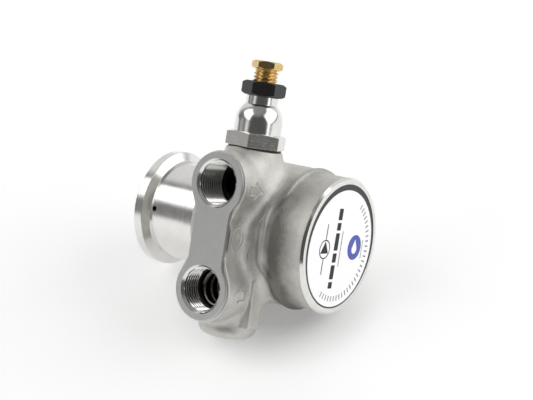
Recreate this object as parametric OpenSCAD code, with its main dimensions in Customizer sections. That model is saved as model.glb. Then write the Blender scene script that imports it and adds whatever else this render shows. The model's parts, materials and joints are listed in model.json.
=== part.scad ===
// Rotary vane pump head with a V-clamp flange, two threaded side ports and an adjustable bypass valve.
// Millimetres. The origin is the centre of the flange's mating face, +Y points along the shaft to the motor,
// -X is the side of the ports and +Z runs up the bypass valve.

/* [Flange and tube] */
// Outer diameter of the clamp flange
flange_d = 45; // [43.6:0.2:47]
// Straight length of the flange rim
flange_rim = 3.7; // [3:0.1:4.4]
// Length of the steep cone between the rim and the tube
flange_taper = 1.6; // [1:0.1:2]
// Outer diameter of the turned tube
tube_d = 38.3; // [37.6:0.1:39]
// Outer diameter of the collar behind the tube
collar_d = 40.4; // [39.6:0.1:41.4]
// Bore of the open cavity around the shaft end
cavity_d = 31; // [30:0.2:32]
// Depth of the open cavity
cavity_depth = 10; // [9:0.1:10.6]

/* [Drum] */
// Distance from the flange face to the front rim
pump_l = 80; // [80:0.2:82]
// Diameter of the rear of the drum, round the ports
drum_rear_d = 53.4; // [52.8:0.1:54]
// Diameter of the front of the drum, round the cartridge
drum_front_d = 50.2; // [50:0.1:50.6]
// Diameter of the raised front rim
rim_d = 51; // [50.8:0.1:51.6]
// Diameter of the front mouth that takes the end cap
mouth_d = 45.9; // [45.6:0.1:46.2]

/* [Ports] */
// Distance between the centres of the two ports
port_pitch = 38.1; // [37:0.1:39]
// Height of the port centres' midpoint above the shaft
port_mid_z = -1.95; // [-2.4:0.05:-1.5]
// Distance from the flange face to the port axes
port_s = 48.6; // [48:0.1:49]
// Distance from the shaft axis to the port face
port_face = 38.6; // [38:0.1:40]
// Diameter of the port bosses
port_boss_d = 22.2; // [21.6:0.1:22.8]
// Minor diameter of the G 3/8 port threads
port_thread_d = 14.95; // [14.7:0.05:15.2]
// Width of the web between the port bosses
web_w = 15; // [14:0.1:16]

/* [Bypass valve] */
// Distance from the shaft axis to the valve axis
valve_x = 18.7; // [18.4:0.05:19]
// Height of the casting's top boss
top_boss_z = 30; // [29.6:0.1:30.6]
// Depth of the casting's foot below the shaft
foot_z = 39; // [38:0.1:40]
// Width across the flats of the valve body's hexagon
valve_flats = 19.6; // [19:0.1:20]
// Width across the flats of the locknut
nut_flats = 14; // [13:0.1:15]
// Major diameter of the adjusting screw
screw_d = 9; // [8.6:0.1:9.2]
// Width across the flats of the adjusting screw's head
screw_flats = 9.9; // [9.5:0.1:10.5]

/* [Cartridge] */
// Bore of the liner
liner_bore_d = 30; // [29.9:0.02:30.1]
// Offset of the liner's bore from the shaft axis
eccentricity = 1.9; // [1.7:0.02:1.92]
// Diameter of the rotor
rotor_d = 26; // [25.6:0.05:26]
// Number of turns of the bypass spring
bypass_turns = 11; // [8:1:13]

/* [Hidden] */

$fn = 96;
steel = [0.74, 0.73, 0.70];
cast = [0.66, 0.65, 0.62];
carbon = [0.16, 0.16, 0.17];
black = [0.06, 0.06, 0.06];
brass = [0.80, 0.62, 0.30];

eps = 0.01;         // overlap that keeps cuts clean
run = 0.04;         // radial running clearance
big = 200;

// Stations along the shaft, measured from the flange face towards the nameplate
tube_end = 22;
drum_start = 34;
step_start = 65;
step_end = 67.5;
rim_start = pump_l - 2.2;
bore_floor = 54.5;
rear_flange_l = 3;
liner_start = bore_floor + rear_flange_l;
liner_l = 13;
liner_end = liner_start + liner_l;
front_plate_l = 4;
cap_start = liner_end + front_plate_l;
ring_start = pump_l - 2.4;
ring_l = 1.2;
cover_start = ring_start + ring_l + 0.1;
cover_l = 0.9;
label_l = 0.2;
weep_s = 7.1;
weep_z = 0.4;
weep_d = 2;

// Bores along the shaft
bearing_seat_d = 26;
bearing_start = 12;
bearing_l = 8;
bearing_end = bearing_start + bearing_l;
seal_start = bearing_end + 1;
seal_bore_d = 22;
seal_end = 38;
sleeve_d = 22;
liner_od = 40;
pin_d = 2;
pin_r = liner_od / 2 - 2;
pin_start = bore_floor - 1.05;
shoulder_d = 21;
circlip_l = 1.2;
circlip_start = bearing_start - circlip_l;

// Ports
inlet_z = port_mid_z + port_pitch / 2;
outlet_z = port_mid_z - port_pitch / 2;
port_chamfer_d = 17.4;
inlet_thread_l = 14;
outlet_thread_l = 9.5;
inlet_bore_d = 12;
passage_end = 6;          // distance from the shaft plane where the cross bores stop
passage_x = -7.5;
passage_z = 14.9;
passage_r = 3;
check_bore_d = 14.4;
check_seat_x = 13.5;      // distance from the shaft plane to the check valve's seat
check_hole_d = 9;

// Bypass valve, heights above the shaft
seat_z = 0;
valve_bore_d = 10;
valve_socket_d = 14;
valve_socket_z = 24.4;
sense_d = 6;
gasket_l = 0.8;
hex_z = top_boss_z + gasket_l;
hex_top_z = 36;
dome_z = 40;
dome_r = 8.65;
nut_z = 49.3;
nut_top_z = 54.5;
head_z = 59;
head_top_z = 62;
cup_z = 37.5;
cup_top_z = 40.5;
piston_l = 7;
piston_z = seat_z + run;
spring_floor_z = piston_z + 2.5;

// Shaft
shaft_d = 10;
tang_start = 1;
tang_end = 7.5;
tang_w = 4.7;
drive_flats = 8;
nose_d = 8;
nose_end = cap_start - 0.4;

// Ball bearing, 10 x 26 x 8 mm
ball_d = 4.762;
ball_count = 7;
ball_pitch_d = 18;
groove_d = 4.9;
bearing_mid = bearing_start + bearing_l / 2;

vane_w = 3;
vane_h = 6.4;
vane_first = 45;
slot_w = vane_w + 0.1;

// Puts its children's +Z along the shaft from the flange face to the nameplate, with +Y up
module along_shaft(s = 0) {
    rotate([90, 0, 0]) translate([0, 0, s]) children();
}

// Puts its children's +Z along +X, starting in the port face at height z
module into_port(z, depth = 0) {
    translate([depth - port_face, -port_s, z]) rotate([0, 90, 0]) children();
}

// Puts its children on the bypass valve's axis
module on_valve(z = 0) {
    translate([-valve_x, -port_s, z]) children();
}

module tube(outer, inner, h) {
    difference() {
        cylinder(d = outer, h = h);
        translate([0, 0, -eps]) cylinder(d = inner, h = h + 2 * eps);
    }
}

// Hexagonal bar by its width across the flats, with its first corner at the given angle
module hexagon(flats, h, corner) {
    rotate([0, 0, corner]) cylinder(d = flats / cos(30), h = h, $fn = 6);
}

// Hexagonal bar whose corners are chamfered at both ends
module chamfered_hexagon(flats, h, corner, low = 0.6, high = 0.6) {
    across = flats / cos(30);
    intersection() {
        hexagon(flats, h, corner);
        rotate_extrude() polygon([
            [0, 0], [across / 2 - low * 1.7, 0], [across / 2, low], [across / 2, h - high],
            [across / 2 - high * 1.7, h], [0, h]
        ]);
    }
}

// Helical wire along +Z, with its coils' centres from wire / 2 to h - wire / 2
module coil(mean_d, wire, h, turns) {
    sides = 6;
    per_turn = 16;
    rings = turns * per_turn;
    rise = (h - wire) / rings;
    points = [
        for (i = [0:rings]) for (j = [0:sides - 1])
            let (turn = 360 * i / per_turn, side = 360 * j / sides, r = (mean_d + wire * cos(side)) / 2)
                [r * cos(turn), r * sin(turn), wire / 2 + rise * i + wire / 2 * sin(side)]
    ];
    walls = [
        for (i = [0:rings - 1]) for (j = [0:sides - 1])
            let (k = (j + 1) % sides)
                [i * sides + j, (i + 1) * sides + j, (i + 1) * sides + k, i * sides + k]
    ];
    ends = [[for (j = [0:sides - 1]) j], [for (j = [sides - 1:-1:0]) rings * sides + j]];
    polyhedron(points = points, faces = concat(walls, ends), convexity = 10);
}

// ---- Housing ----

module turned_outline() {
    polygon([
        [0, 0], [flange_d / 2 - 0.4, 0], [flange_d / 2, 0.4], [flange_d / 2, flange_rim],
        [tube_d / 2, flange_rim + flange_taper], [tube_d / 2, tube_end],
        [collar_d / 2, tube_end + 0.6], [collar_d / 2, drum_start - 4],
        [collar_d / 2 + 2, drum_start - 1.2], [drum_rear_d / 2 - 3, drum_start + 0.4],
        [drum_rear_d / 2 - 0.8, drum_start + 2], [drum_rear_d / 2, drum_start + 4.4],
        [drum_rear_d / 2, step_start], [drum_front_d / 2, step_end],
        [drum_front_d / 2, rim_start - 0.6], [rim_d / 2, rim_start], [rim_d / 2, pump_l - 0.5],
        [rim_d / 2 - 0.5, pump_l], [0, pump_l]
    ]);
}

// The two port bosses and the web between them, drawn with Y as height
module port_outline() {
    neck = web_w / 2;
    blend = 6;
    reach = port_boss_d / 2;
    // The blend circle touches the boss circle and the web's edge
    blend_y = neck + blend;
    blend_z = sqrt(pow(reach + blend, 2) - pow(blend_y, 2));
    touch = reach / (reach + blend);
    for (end = [-1, 1]) translate([0, end * port_pitch / 2]) circle(d = port_boss_d);
    difference() {
        for (end = [-1, 1]) for (side = [-1, 1]) polygon([
            [0, 0], [side * blend_y * touch, end * (port_pitch / 2 - blend_z * touch)],
            [side * neck, end * (port_pitch / 2 - blend_z)], [side * neck, 0]
        ]);
        for (end = [-1, 1]) for (side = [-1, 1])
            translate([side * blend_y, end * (port_pitch / 2 - blend_z)]) circle(r = blend);
    }
    translate([-neck, -port_pitch / 2]) square([web_w, port_pitch]);
}

module port_block() {
    into_port(port_mid_z) linear_extrude(height = port_face - valve_x) rotate([0, 0, 90]) port_outline();
    for (z = [inlet_z, outlet_z]) into_port(z, 1.2) cylinder(d = port_boss_d + 1, h = port_face - valve_x);
}

// The upright column that holds the bypass valve, with its foot and its top boss
module column() {
    column_r = 8.2;
    boss_r = 10.4;
    foot_r = 10.6;
    on_valve() rotate_extrude() polygon(concat(
        [[0, -foot_z], [foot_r - 3.4, -foot_z]],
        [for (a = [-75:15:0]) [foot_r - 3 + 3 * cos(a), -foot_z + 3 + 3 * sin(a)]],
        [[foot_r, -foot_z + 8], [column_r, -foot_z + 15], [column_r, 12], [boss_r, 22]],
        [[boss_r, top_boss_z - 0.5], [boss_r - 0.5, top_boss_z], [0, top_boss_z]]
    ));
}

// Raised bar on the foot's front, beside a shallow recess
module foot_bar() {
    translate([-valve_x - 5.2, -port_s - 12.5, -foot_z + 5]) cube([7.4, 12.5, 18]);
}

// Flow direction mark cast on a port barrel, pointing into or out of the pump
module flow_arrow(z, direction) {
    on_valve() translate([-11.8, -port_boss_d / 2 + 0.15, z]) rotate([90, 0, 0])
        mirror([direction < 0 ? 1 : 0, 0, 0]) linear_extrude(height = 1.1) polygon([
            [-3.2, -1.7], [0.2, -1.7], [0.2, -3.1], [3.7, 0], [0.2, 3.1], [0.2, 1.7], [-3.2, 1.7]
        ]);
}

module housing_bores() {
    along_shaft(-eps) cylinder(d = cavity_d, h = cavity_depth + eps);
    along_shaft(cavity_depth - eps) cylinder(d = bearing_seat_d, h = bearing_end - cavity_depth + eps);
    along_shaft(circlip_start) cylinder(d = bearing_seat_d + 1.6, h = circlip_l);
    along_shaft(bearing_end - eps) cylinder(d = shoulder_d, h = 1 + 2 * eps);
    along_shaft(seal_start) cylinder(d = seal_bore_d, h = seal_end - seal_start);
    along_shaft(seal_end - eps) cylinder(d = sleeve_d, h = bore_floor - seal_end + 2 * eps);
    along_shaft(bore_floor) cylinder(d = liner_od, h = pump_l);
    along_shaft(cap_start) cylinder(d = mouth_d, h = pump_l);
    along_shaft(ring_start) cylinder(d = mouth_d + 1.9, h = ring_l + 0.05);
    along_shaft(weep_s) translate([-cavity_d / 2 + 2, weep_z, 0]) rotate([0, -90, 0])
        cylinder(d = weep_d, h = 8);
}

module port_bores() {
    for (z = [inlet_z, outlet_z]) into_port(z, -eps)
        cylinder(d1 = port_chamfer_d, d2 = port_thread_d, h = (port_chamfer_d - port_thread_d) / 2);
    into_port(inlet_z, -eps) cylinder(d = port_thread_d, h = inlet_thread_l + eps);
    into_port(inlet_z) cylinder(d = inlet_bore_d, h = port_face - passage_end);
    into_port(outlet_z, -eps) cylinder(d = port_thread_d, h = outlet_thread_l + eps);
    into_port(outlet_z) cylinder(d = check_bore_d, h = port_face - check_seat_x);
    into_port(outlet_z) cylinder(d = check_hole_d, h = port_face - passage_end);
    for (z = [-passage_z, passage_z])
        along_shaft(port_s) translate([passage_x, z, 0])
            cylinder(r = passage_r, h = bore_floor - port_s + eps);
}

module valve_bores() {
    on_valve(outlet_z) cylinder(d = sense_d, h = seat_z - outlet_z + eps);
    on_valve(seat_z) cylinder(d = valve_bore_d, h = big);
    on_valve(valve_socket_z) cylinder(d = valve_socket_d, h = big);
}

module housing() {
    color(cast) difference() {
        union() {
            along_shaft() rotate_extrude() turned_outline();
            port_block();
            column();
            foot_bar();
            flow_arrow(inlet_z, 1);
            flow_arrow(outlet_z, -1);
        }
        housing_bores();
        port_bores();
        valve_bores();
        along_shaft(pin_start) translate([0, pin_r, 0]) cylinder(d = pin_d, h = bore_floor - pin_start + eps);
    }
}

// ---- End cap stack ----

cap_d = mouth_d - 0.1;
o_ring_wire = 1.74;
cap_groove_s = 0.6;

module end_cap() {
    cap_l = ring_start - cap_start;
    color(steel) along_shaft(cap_start) difference() {
        cylinder(d = cap_d, h = cap_l);
        translate([0, 0, cap_groove_s]) tube(cap_d + 2, cap_d - 2 * o_ring_wire, 2);
    }
}

module cap_o_ring() {
    color(black) along_shaft(cap_start + cap_groove_s + 1) rotate_extrude()
        translate([cap_d / 2 - o_ring_wire / 2, 0]) circle(d = o_ring_wire, $fn = 24);
}

module retaining_ring() {
    outer = mouth_d + 1.8;
    color(black) along_shaft(ring_start) difference() {
        tube(outer, mouth_d - 4, ring_l);
        translate([-3.5, outer / 2 - 5, -eps]) cube([7, 10, ring_l + 2 * eps]);
    }
}

module cover_disc() {
    color(black) along_shaft(cover_start) rotate_extrude() polygon([
        [0, 0], [cap_d / 2, 0], [cap_d / 2, cover_l - 0.3], [cap_d / 2 - 0.3, cover_l], [0, cover_l]
    ]);
}

module nameplate() {
    color("white") along_shaft(cover_start + cover_l) translate([0, -0.8, 0]) cylinder(d = 43.2, h = label_l);
}

// ---- Pump cartridge ----

module liner() {
    passage_angle = atan2(passage_z, passage_x);
    color(carbon) along_shaft(liner_start) difference() {
        cylinder(d = liner_od, h = liner_l);
        translate([eccentricity, 0, -eps]) cylinder(d = liner_bore_d, h = liner_l + 2 * eps);
        for (side = [-1, 1]) rotate([0, 0, side * passage_angle]) translate([9, -3.2, -eps])
            cube([liner_od / 2 - 9.8, 6.4, 5]);
        translate([0, pin_r, -eps]) cylinder(d = pin_d, h = 3);
    }
}

module liner_pin() {
    color(steel) along_shaft(pin_start) translate([0, pin_r, 0]) cylinder(d = pin_d - 0.02, h = 6);
}

module front_bearing() {
    color(carbon) along_shaft(liner_end) difference() {
        cylinder(d = liner_od - 0.04, h = front_plate_l);
        translate([0, 0, -eps]) cylinder(d = nose_d + 2 * run, h = front_plate_l - 0.3);
    }
}

module rear_bearing() {
    color(carbon) along_shaft() difference() {
        union() {
            translate([0, 0, seal_end + 1]) cylinder(d = sleeve_d, h = bore_floor - seal_end);
            translate([0, 0, bore_floor]) cylinder(d = liner_od - 0.04, h = rear_flange_l);
        }
        cylinder(d = shaft_d + 2 * run, h = big);
        for (z = [-passage_z, passage_z]) translate([passage_x, z, 0]) cylinder(r = passage_r - 0.2, h = big);
        translate([0, pin_r, 0]) cylinder(d = pin_d, h = big);
    }
}

// Round shaft end with two flats that drives the rotor
module drive_section(h, gap = 0) {
    intersection() {
        cylinder(d = shaft_d + gap, h = h);
        translate([-drive_flats / 2 - gap / 2, -shaft_d, 0]) cube([drive_flats + gap, 2 * shaft_d, h]);
    }
}

module shaft() {
    color(steel) along_shaft() {
        difference() {
            translate([0, 0, tang_start]) cylinder(d = shaft_d, h = liner_start - tang_start + eps);
            for (side = [-1, 1]) translate([side * (tang_w / 2 + shaft_d), 0, tang_start - eps])
                translate([-shaft_d, -shaft_d, 0]) cube([2 * shaft_d, 2 * shaft_d, tang_end - tang_start]);
        }
        translate([0, 0, liner_start]) drive_section(liner_l);
        translate([0, 0, liner_end - eps]) cylinder(d = nose_d, h = nose_end - liner_end);
    }
}

module rotor() {
    rotor_l = liner_l - 2 * run;
    color(steel) along_shaft(liner_start + run) difference() {
        cylinder(d = rotor_d, h = rotor_l);
        translate([0, 0, -eps]) drive_section(rotor_l + 2 * eps, 0.02);
        for (k = [0:3]) rotate([0, 0, vane_first + 90 * k])
            translate([rotor_d / 2 - vane_h - 0.4, -slot_w / 2, -eps])
                cube([vane_h + 2, slot_w, rotor_l + 2 * eps]);
    }
}

module vane(k) {
    tip = rotor_d / 2;
    color(carbon) along_shaft(liner_start + run) rotate([0, 0, vane_first + 90 * k]) intersection() {
        translate([tip - vane_h, -vane_w / 2, 0]) cube([vane_h, vane_w, liner_l - 2 * run]);
        translate([tip - vane_h, 0, 0]) cylinder(r = vane_h, h = liner_l);
    }
}

module vane_1() { vane(0); }
module vane_2() { vane(1); }
module vane_3() { vane(2); }
module vane_4() { vane(3); }

// ---- Shaft seal ----

seat_l = 4.4;
face_l = 3;
seat_d = 18.4;
cup_floor = 0.8;
seal_face = seal_start + cup_floor + seat_l;

module seal_cup() {
    color(black) along_shaft(seal_start) difference() {
        cylinder(d = seal_bore_d - 0.02, h = cup_floor + seat_l - 0.6);
        translate([0, 0, cup_floor]) cylinder(d = seat_d, h = seat_l);
        translate([0, 0, -eps]) cylinder(d = 13, h = seat_l);
    }
}

module seal_seat() {
    color("ivory") along_shaft(seal_start + cup_floor) tube(seat_d, shaft_d + 1.4, seat_l - run);
}

module seal_ring() {
    color(carbon) along_shaft(seal_face) tube(17.4, shaft_d + 0.4, face_l);
}

module seal_bellows() {
    color(black) along_shaft(seal_face + face_l) rotate_extrude() polygon([
        [shaft_d / 2, 0], [8.2, 0], [8.2, 1], [6.6, 1.4], [6.2, 5.6], [shaft_d / 2, 5.6]
    ]);
}

module seal_spring() {
    color(steel) along_shaft(seal_face + face_l + 1.1) coil(15.6, 1, 4.4, 2);
}

module seal_collar() {
    color(steel) along_shaft(seal_face + face_l + 5.6) tube(18, shaft_d, 1.1);
}

// ---- Ball bearing ----

module ball_groove() {
    rotate_extrude() translate([ball_pitch_d / 2, 0]) circle(d = groove_d, $fn = 32);
}

module bearing_outer_race() {
    color(steel) along_shaft(bearing_start) difference() {
        tube(bearing_seat_d, 21.2, bearing_l);
        translate([0, 0, bearing_l / 2]) ball_groove();
    }
}

module bearing_inner_race() {
    color(steel) along_shaft(bearing_start) difference() {
        tube(14.8, shaft_d, bearing_l);
        translate([0, 0, bearing_l / 2]) ball_groove();
    }
}

module bearing_balls() {
    color("silver") along_shaft(bearing_mid) for (k = [0:ball_count - 1])
        rotate([0, 0, 360 * k / ball_count]) translate([ball_pitch_d / 2, 0, 0]) sphere(d = ball_d, $fn = 32);
}

module bearing_cage() {
    cage_l = 6;
    color(brass) along_shaft(bearing_mid - cage_l / 2) difference() {
        tube(19.4, 16.6, cage_l);
        for (k = [0:ball_count - 1]) rotate([0, 0, 360 * k / ball_count])
            translate([ball_pitch_d / 2, 0, cage_l / 2]) rotate([0, 90, 0])
                cylinder(d = ball_d + 0.1, h = 6, center = true);
    }
}

module bearing_shields() {
    for (s = [bearing_start + 0.3, bearing_end - 0.7])
        color(black) along_shaft(s) tube(21.2, 15, 0.4);
}

module bearing_circlip() {
    outer = bearing_seat_d + 1.5;
    color(steel) along_shaft(circlip_start) difference() {
        tube(outer, bearing_seat_d - 3.4, circlip_l);
        translate([-2.5, outer / 2 - 3, -eps]) cube([5, 10, circlip_l + 2 * eps]);
    }
}

// ---- Bypass valve ----

valve_corner = 21.1;
nut_corner = 3.7;
head_corner = 0.5;
screw_bore_d = screw_d + 0.06;
chamber_d = 9.4;
screw_groove_z = 46.3;
screw_tip_z = cup_top_z + 0.02;

module valve_body() {
    neck_r = 5.8;
    ball_start = asin((hex_top_z + 0.5 - dome_z) / dome_r);
    ball_end = acos(neck_r / dome_r);
    color(steel) difference() {
        union() {
            on_valve(hex_z) chamfered_hexagon(valve_flats, hex_top_z - hex_z, valve_corner, 0.2, 0.7);
            on_valve() rotate_extrude() polygon(concat(
                [[0, valve_socket_z], [valve_socket_d / 2 - 0.02, valve_socket_z]],
                [[valve_socket_d / 2 - 0.02, hex_z + 1], [dome_r + 0.7, hex_top_z - 0.5]],
                [[dome_r, hex_top_z + 0.5]],
                [for (i = [0:12]) let (a = ball_start + (ball_end - ball_start) * i / 12)
                    [dome_r * cos(a), dome_z + dome_r * sin(a)]],
                [[neck_r, nut_z], [0, nut_z]]
            ));
        }
        on_valve(valve_socket_z - eps) cylinder(d = chamber_d, h = cup_top_z + 3 - valve_socket_z);
        on_valve(cup_top_z) cylinder(d = screw_bore_d, h = big);
    }
}

module valve_gasket() {
    color(black) on_valve(top_boss_z) tube(19, valve_socket_d, gasket_l);
}

module locknut() {
    nut_l = nut_top_z - nut_z - run;
    color(black) on_valve(nut_z + run) difference() {
        chamfered_hexagon(nut_flats, nut_l, nut_corner, 0.4, 0.4);
        translate([0, 0, -eps]) cylinder(d = screw_bore_d, h = big);
        translate([0, 0, nut_l - 0.5]) cylinder(d1 = screw_d, d2 = screw_d + 1.2, h = 0.5 + eps);
    }
}

module adjusting_screw() {
    color(brass) difference() {
        union() {
            on_valve(screw_tip_z) cylinder(d = screw_d, h = head_z - screw_tip_z);
            on_valve(head_z) chamfered_hexagon(screw_flats, head_top_z - head_z, head_corner, 0.3, 0.4);
        }
        on_valve(screw_groove_z) tube(screw_d + 1, screw_d - 2.4, 1.4);
        on_valve(screw_tip_z - eps) cylinder(d = 3, h = 2);
    }
}

module screw_o_ring() {
    color(black) on_valve(screw_groove_z + 0.7) rotate_extrude()
        translate([screw_d / 2 - 0.59, 0]) circle(d = 1.2, $fn = 24);
}

module spring_cup() {
    color(brass) on_valve(cup_z) {
        translate([0, 0, 1.4]) cylinder(d = chamber_d - 0.2, h = cup_top_z - cup_z - 1.4);
        cylinder(d = 5, h = 2);
        translate([0, 0, 2]) cylinder(d = 2.9, h = 2.4);
    }
}

module bypass_spring() {
    floor_z = spring_floor_z;
    color(steel) on_valve(floor_z) coil(7, 1.1, cup_z + 1.4 - floor_z, bypass_turns);
}

module bypass_piston() {
    color(brass) on_valve(piston_z) difference() {
        rotate_extrude() polygon([
            [0, -2.2], [sense_d / 2 - 0.3, -2.2], [sense_d / 2 - 0.3, 0.02], [valve_bore_d / 2 - run, 0.6],
            [valve_bore_d / 2 - run, piston_l], [0, piston_l]
        ]);
        translate([0, 0, 2.5]) cylinder(d = valve_bore_d - 1.6, h = piston_l);
    }
}

// ---- Outlet check valve ----

poppet_l = 4;
poppet_rim = 2;

module check_poppet() {
    color(black) into_port(outlet_z, port_face - check_seat_x) rotate([0, 180, 0]) difference() {
        rotate_extrude() polygon([
            [0, run], [6.4, run], [6.4, poppet_rim], [5.4, poppet_rim], [5.4, poppet_l], [0, poppet_l]
        ]);
        tube(11.6, 9.2, 1.1);
    }
}

module check_o_ring() {
    color(black) into_port(outlet_z, port_face - check_seat_x - 0.55) rotate_extrude()
        translate([5.2, 0]) circle(d = 1, $fn = 24);
}

module check_spring() {
    start = outlet_thread_l + 0.3;
    color(steel) into_port(outlet_z, start)
        coil(12.6, 1, port_face - check_seat_x - poppet_rim - start, 4.5);
}

housing();
end_cap();
cap_o_ring();
retaining_ring();
cover_disc();
nameplate();
liner();
liner_pin();
front_bearing();
rear_bearing();
shaft();
rotor();
vane_1();
vane_2();
vane_3();
vane_4();
seal_cup();
seal_seat();
seal_ring();
seal_bellows();
seal_spring();
seal_collar();
bearing_outer_race();
bearing_inner_race();
bearing_balls();
bearing_cage();
bearing_shields();
bearing_circlip();
valve_body();
valve_gasket();
locknut();
adjusting_screw();
screw_o_ring();
spring_cup();
bypass_spring();
bypass_piston();
check_poppet();
check_o_ring();
check_spring();
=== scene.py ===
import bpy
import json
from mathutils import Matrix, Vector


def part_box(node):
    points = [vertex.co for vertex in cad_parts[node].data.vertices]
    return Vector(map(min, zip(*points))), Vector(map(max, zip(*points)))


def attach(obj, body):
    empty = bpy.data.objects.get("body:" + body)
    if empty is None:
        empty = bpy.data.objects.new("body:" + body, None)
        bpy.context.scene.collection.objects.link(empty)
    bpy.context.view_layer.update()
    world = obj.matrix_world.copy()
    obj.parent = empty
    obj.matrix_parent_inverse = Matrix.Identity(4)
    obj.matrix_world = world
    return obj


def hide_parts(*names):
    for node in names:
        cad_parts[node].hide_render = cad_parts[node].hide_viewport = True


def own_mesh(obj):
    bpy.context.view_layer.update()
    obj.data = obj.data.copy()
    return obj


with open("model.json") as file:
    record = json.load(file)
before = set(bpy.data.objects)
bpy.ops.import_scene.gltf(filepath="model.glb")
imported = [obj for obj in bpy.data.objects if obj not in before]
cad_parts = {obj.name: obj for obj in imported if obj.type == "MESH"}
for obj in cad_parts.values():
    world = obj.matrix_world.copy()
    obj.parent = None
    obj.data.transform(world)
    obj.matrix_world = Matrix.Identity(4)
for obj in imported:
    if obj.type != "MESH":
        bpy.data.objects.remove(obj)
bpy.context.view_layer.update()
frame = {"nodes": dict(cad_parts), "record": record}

import json
import math

import bpy
import bmesh
import numpy as np
from mathutils import Matrix, Vector

# Lengths are in millimetres in the row frame, and become metres when a mesh is made.
MM = 0.001

# ---- Sizes taken from the frame ----

mounts = {m["name"]: m for m in frame["record"]["mounts"]}


def mm_box(node):
    low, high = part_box(node)
    return Vector(low) / MM, Vector(high) / MM


housing_low, housing_high = mm_box("housing")
valve_low, valve_high = mm_box("valve_body")
nut_low, nut_high = mm_box("locknut")
screw_low, screw_high = mm_box("adjusting_screw")
gasket_low, gasket_high = mm_box("valve_gasket")
cover_low, cover_high = mm_box("cover_disc")
label_low, label_high = mm_box("nameplate")
check_low, check_high = mm_box("check_spring")

PUMP_L = -housing_low.y                     # flange face to front rim
PORT_X = housing_low.x                      # plane of the port face
PORT_S = -mounts["inlet_port"]["pos_m"][1] / MM
INLET_Z = mounts["inlet_port"]["pos_m"][2] / MM
OUTLET_Z = mounts["outlet_port"]["pos_m"][2] / MM
THREAD_MINOR_R = mounts["inlet_port"]["dims"]["r_mm"]
FLANGE_R = mounts["flange_rim"]["dims"]["r_mm"]
FLANGE_RIM = mounts["flange_rim"]["dims"]["length_mm"]
FOOT_Z = housing_low.z
BOSS_Z = housing_high.z
VALVE_X = (gasket_low.x + gasket_high.x) / 2
DRUM_R = housing_high.x

TAPER_L = 1.6
TUBE_R = 19.15
COLLAR_R = 20.2
COLLAR_S = 22.0
WEEP_S, WEEP_Z = 7.1, 0.4
FRONT_R = 25.1
MOUTH_R = 22.95
RIM_R = 25.5
BOSS_R = 11.1
WEB_W = 15.0
THREAD_MAJOR_R = 8.33
THREAD_PITCH = 1.337
INLET_THREAD_L = 14.0
OUTLET_THREAD_L = 9.5
CHECK_BORE_R = 7.2
THREAD_MOUTH_R = 8.7  # Outer radius of the chamfer at a port's mouth
SLEEVE_R = 9.2  # The thread sleeves' outside, sunk in the casting
SCREW_PITCH = 1.25  # Assumed: the photo doesn't settle it
COLUMN_R = 8.2
VALVE_HEX_CORNER = 21.1
NUT_CORNER = 3.7
BALL_R, BALL_Z = 8.65, 40.0
NECK_R = 5.8
SCREW_CORNER = 0.5


# ---- Mesh tools ----

class Axis:
    """A turning axis: point(radius, angle, station) is a point of a lathe's work in the row frame."""

    def __init__(self, origin, along, right, up):
        self.origin = np.array(origin, float)
        self.along = np.array(along, float)
        self.right = np.array(right, float)
        self.up = np.array(up, float)

    def ring(self, radius, station, angles):
        radius = np.broadcast_to(radius, angles.shape)[:, None]
        station = np.broadcast_to(station, angles.shape)[:, None]
        across = np.cos(angles)[:, None] * self.right + np.sin(angles)[:, None] * self.up
        return self.origin + station * self.along + radius * across


SHAFT = Axis((0, 0, 0), (0, -1, 0), (1, 0, 0), (0, 0, 1))
VALVE = Axis((VALVE_X, -PORT_S, 0), (0, 0, 1), (1, 0, 0), (0, 1, 0))
INLET = Axis((PORT_X, -PORT_S, INLET_Z), (1, 0, 0), (0, 1, 0), (0, 0, 1))
OUTLET = Axis((PORT_X, -PORT_S, OUTLET_Z), (1, 0, 0), (0, 1, 0), (0, 0, 1))


def turn(count):
    return np.linspace(0, 2 * math.pi, count, endpoint=False)


def rounded(profile, radius, steps=3):
    """A closed profile with each corner rounded by an arc, less where its edges are short."""
    points = [Vector(p) for p in profile]
    out = []
    for i, corner in enumerate(points):
        before = points[i - 1] - corner
        after = points[(i + 1) % len(points)] - corner
        half = before.angle(after, math.pi) / 2
        if corner.x < 0.01 or half > math.radians(84):
            out.append(corner)
            continue
        reach = min(radius / math.tan(half), before.length * 0.45, after.length * 0.45)
        start = corner + before.normalized() * reach
        end = corner + after.normalized() * reach
        # A point just outside each end of the arc keeps the shading of the flats flat.
        out.append(corner + before.normalized() * reach * 1.08)
        for step in range(steps + 1):
            t = step / steps
            out.append(start.lerp(corner, t).lerp(corner.lerp(end, t), t))
        out.append(corner + after.normalized() * reach * 1.08)
    return [tuple(p) for p in out]


def mesh_object(name, vertices, faces, sharp=32):
    """A smooth-shaded object from vertices in millimetres, with edges sharper than the angle kept crisp."""
    mesh = bpy.data.meshes.new(name)
    mesh.from_pydata((np.asarray(vertices, float) * MM).tolist(), [], faces)
    work = bmesh.new()
    work.from_mesh(mesh)
    bmesh.ops.remove_doubles(work, verts=work.verts, dist=1e-7)
    bmesh.ops.recalc_face_normals(work, faces=work.faces)
    work.to_mesh(mesh)
    work.free()
    mesh.shade_smooth()
    mesh.set_sharp_from_angle(angle=math.radians(sharp))
    made = bpy.data.objects.new(name, mesh)
    bpy.context.scene.collection.objects.link(made)
    return made


def skin(rings, closed=True):
    """Vertices and quads through a list of rings, each joined round, and the last to the first if closed."""
    count = len(rings[0])
    vertices = np.concatenate(rings)
    faces = []
    for i in range(len(rings) if closed else len(rings) - 1):
        a, b = i * count, (i + 1) % len(rings) * count
        for j in range(count):
            k = (j + 1) % count
            faces.append((a + j, a + k, b + k, b + j))
    return vertices, faces


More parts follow.
